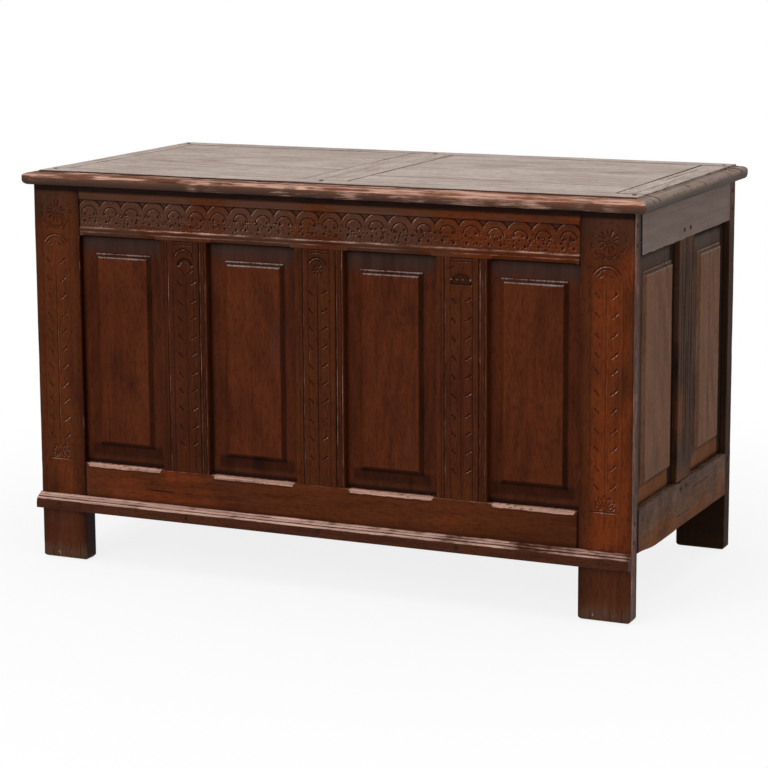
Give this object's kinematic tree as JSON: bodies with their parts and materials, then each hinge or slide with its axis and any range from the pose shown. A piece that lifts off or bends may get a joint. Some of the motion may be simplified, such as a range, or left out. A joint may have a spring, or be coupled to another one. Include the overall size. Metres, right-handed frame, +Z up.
{
  "type": "coffer chest",
  "caption": "Joined oak coffer with a carved framed front, fielded panels, tall stile feet and a framed lid that lifts on strap hinges at the back.",
  "frame": {"origin": "on the floor under the middle of the chest's outline, lid and base moulding together", "axes": "+Z up, -Y towards the carved front, +X to the right seen from the front"},
  "size_m": [1.278, 0.6384, 0.7723],
  "materials": {
    "oak_front_frame": "dark waxed oak, carved, worn pale on the edges",
    "oak_front_panel": "reddish waxed oak with dark recesses",
    "oak_moulding": "dark waxed oak with rubbed edges",
    "oak_side": "dry grey-brown oak",
    "oak_plain": "unpolished oak of the back and the inside",
    "oak_lid": "sun-bleached grey-tan oak with a reddish front moulding",
    "oak_peg": "dark end-grain oak",
    "wrought_iron": "blackened forged iron"
  },
  "bodies": {
    "carcase": {"back_bottom_rail": "oak_plain", "back_muntin_left": "oak_plain", "back_muntin_right": "oak_plain", "back_panel_centre": "oak_plain", "back_panel_left": "oak_plain", "back_panel_right": "oak_plain", "back_pegs": "oak_peg", "back_top_rail": "oak_plain", "base_moulding": "oak_moulding", "floor_board_1": "oak_plain", "floor_board_2": "oak_plain", "floor_board_3": "oak_plain", "floor_board_4": "oak_plain", "floor_board_5": "oak_plain", "front_bottom_rail": "oak_front_frame", "front_left_stile": "oak_front_frame", "front_muntin_centre": "oak_front_frame", "front_muntin_left": "oak_front_frame", "front_muntin_right": "oak_front_frame", "front_panel_far_left": "oak_front_panel", "front_panel_far_right": "oak_front_panel", "front_panel_mid_left": "oak_front_panel", "front_panel_mid_right": "oak_front_panel", "front_pegs": "oak_peg", "front_right_stile": "oak_front_frame", "front_top_rail": "oak_front_frame", "hinge_leaf_left": "wrought_iron", "hinge_leaf_right": "wrought_iron", "hinge_pins": "wrought_iron", "leaf_nails": "wrought_iron", "left_bottom_rail": "oak_side", "left_muntin": "oak_side", "left_panel_front": "oak_side", "left_panel_rear": "oak_side", "left_pegs": "oak_peg", "left_top_rail": "oak_side", "moulding_nails": "wrought_iron", "rear_left_stile": "oak_side", "rear_right_stile": "oak_side", "right_bottom_rail": "oak_side", "right_muntin": "oak_side", "right_panel_front": "oak_side", "right_panel_rear": "oak_side", "right_pegs": "oak_peg", "right_top_rail": "oak_side"},
    "lid": {"hinge_strap_left": "wrought_iron", "hinge_strap_right": "wrought_iron", "lid_board_left": "oak_lid", "lid_board_right_front": "oak_lid", "lid_board_right_rear": "oak_lid", "lid_front_rail": "oak_lid", "lid_left_stile": "oak_lid", "lid_muntin": "oak_lid", "lid_pegs": "oak_peg", "lid_rear_rail": "oak_lid", "lid_right_stile": "oak_lid", "strap_nails": "wrought_iron"}
  },
  "joints": [
    {"name": "lid_hinge", "type": "hinge", "parent": "carcase", "child": "lid", "pos_m": [0, 0.31275, 0.744], "axis": [-1, 0, 0], "range_deg": [0, 98]}
  ]
}
